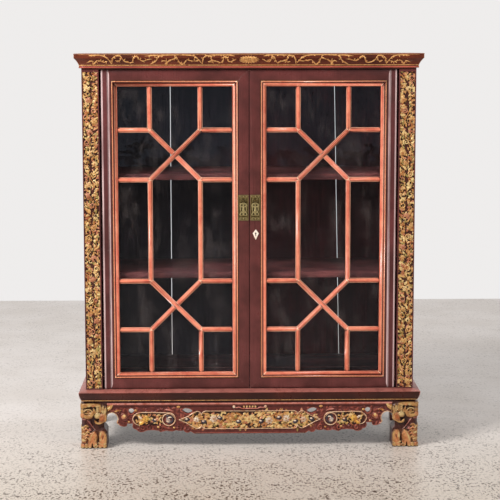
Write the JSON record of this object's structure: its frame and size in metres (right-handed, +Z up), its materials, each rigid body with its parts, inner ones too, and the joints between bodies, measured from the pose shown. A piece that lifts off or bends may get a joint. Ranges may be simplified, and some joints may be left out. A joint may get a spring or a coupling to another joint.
{
  "type": "book cabinet",
  "caption": "Low lacquered book cabinet with a moulded cornice, glazed lattice doors on wooden pivots, carved gilt pilasters, shelves, and a pierced apron between carved feet.",
  "frame": {"origin": "on the floor, in the middle of the cabinet's bounding box", "axes": "+X to the right seen from the front, +Y to the back, +Z up"},
  "size_m": [1.08, 0.4, 1.242],
  "materials": {
    "lacquer": "aged dark red lacquer, satin",
    "carved_gilt": "carved wood, worn gold leaf on dark red",
    "coral_lacquer": "faded coral lacquer",
    "dark_wood": "dark stained softwood, matt",
    "glass": "old clear glass",
    "brass": "antique brass, olive patina",
    "bone": "polished bone",
    "iron": "blackened iron"
  },
  "bodies": {
    "cabinet": {"top_board": "lacquer", "cornice_front": "lacquer", "cornice_left": "lacquer", "cornice_right": "lacquer", "head_rail": "lacquer", "plinth_front": "lacquer", "plinth_left": "lacquer", "plinth_right": "lacquer", "plinth_rear": "lacquer", "apron_left": "lacquer", "apron_right": "lacquer", "left_pilaster": "carved_gilt", "front_left_foot": "carved_gilt", "left_rear_post": "lacquer", "left_side_panel": "lacquer", "left_side_rails": "lacquer", "rear_left_foot": "lacquer", "left_shelf_battens": "dark_wood", "right_pilaster": "carved_gilt", "front_right_foot": "carved_gilt", "right_rear_post": "lacquer", "right_side_panel": "lacquer", "right_side_rails": "lacquer", "rear_right_foot": "lacquer", "right_shelf_battens": "dark_wood", "apron_front": "carved_gilt", "bottom_board": "dark_wood", "upper_shelf": "dark_wood", "lower_shelf": "dark_wood", "back_rails": "dark_wood", "back_board_1": "dark_wood", "back_board_2": "dark_wood", "back_board_3": "dark_wood", "back_board_4": "dark_wood"},
    "left_door": {"left_pivot_stile": "lacquer", "left_outer_stile": "lacquer", "left_meeting_stile": "lacquer", "left_top_rail": "lacquer", "left_bottom_rail": "lacquer", "left_moulding": "coral_lacquer", "left_lattice": "coral_lacquer", "left_glass": "glass", "left_glass_beads": "dark_wood", "left_pull_plate": "brass", "lock_keeper": "iron"},
    "right_door": {"right_pivot_stile": "lacquer", "right_outer_stile": "lacquer", "right_meeting_stile": "lacquer", "right_top_rail": "lacquer", "right_bottom_rail": "lacquer", "right_moulding": "coral_lacquer", "right_lattice": "coral_lacquer", "right_glass": "glass", "right_glass_beads": "dark_wood", "right_pull_plate": "brass", "escutcheon": "bone", "lock_case": "iron"},
    "left_pendant": {"left_pull_pendant": "brass"},
    "right_pendant": {"right_pull_pendant": "brass"},
    "lock_bolt": {"lock_bolt": "iron"}
  },
  "joints": [
    {"name": "left_door_hinge", "type": "hinge", "parent": "cabinet", "child": "left_door", "pos_m": [-0.4485, -0.161, 0.69], "axis": [0, 0, -1], "range_deg": [0, 95]},
    {"name": "right_door_hinge", "type": "hinge", "parent": "cabinet", "child": "right_door", "pos_m": [0.4485, -0.161, 0.69], "axis": [0, 0, 1], "range_deg": [0, 95]},
    {"name": "left_pull_swing", "type": "hinge", "parent": "left_door", "child": "left_pendant", "pos_m": [-0.0185, -0.17755, 0.786], "axis": [-1, 0, 0], "range_deg": [0, 80]},
    {"name": "right_pull_swing", "type": "hinge", "parent": "right_door", "child": "right_pendant", "pos_m": [0.0185, -0.17755, 0.786], "axis": [-1, 0, 0], "range_deg": [0, 80]},
    {"name": "lock_bolt_slide", "type": "slide", "parent": "right_door", "child": "lock_bolt", "axis": [-1, 0, 0], "range_m": [0, 0.008]}
  ]
}
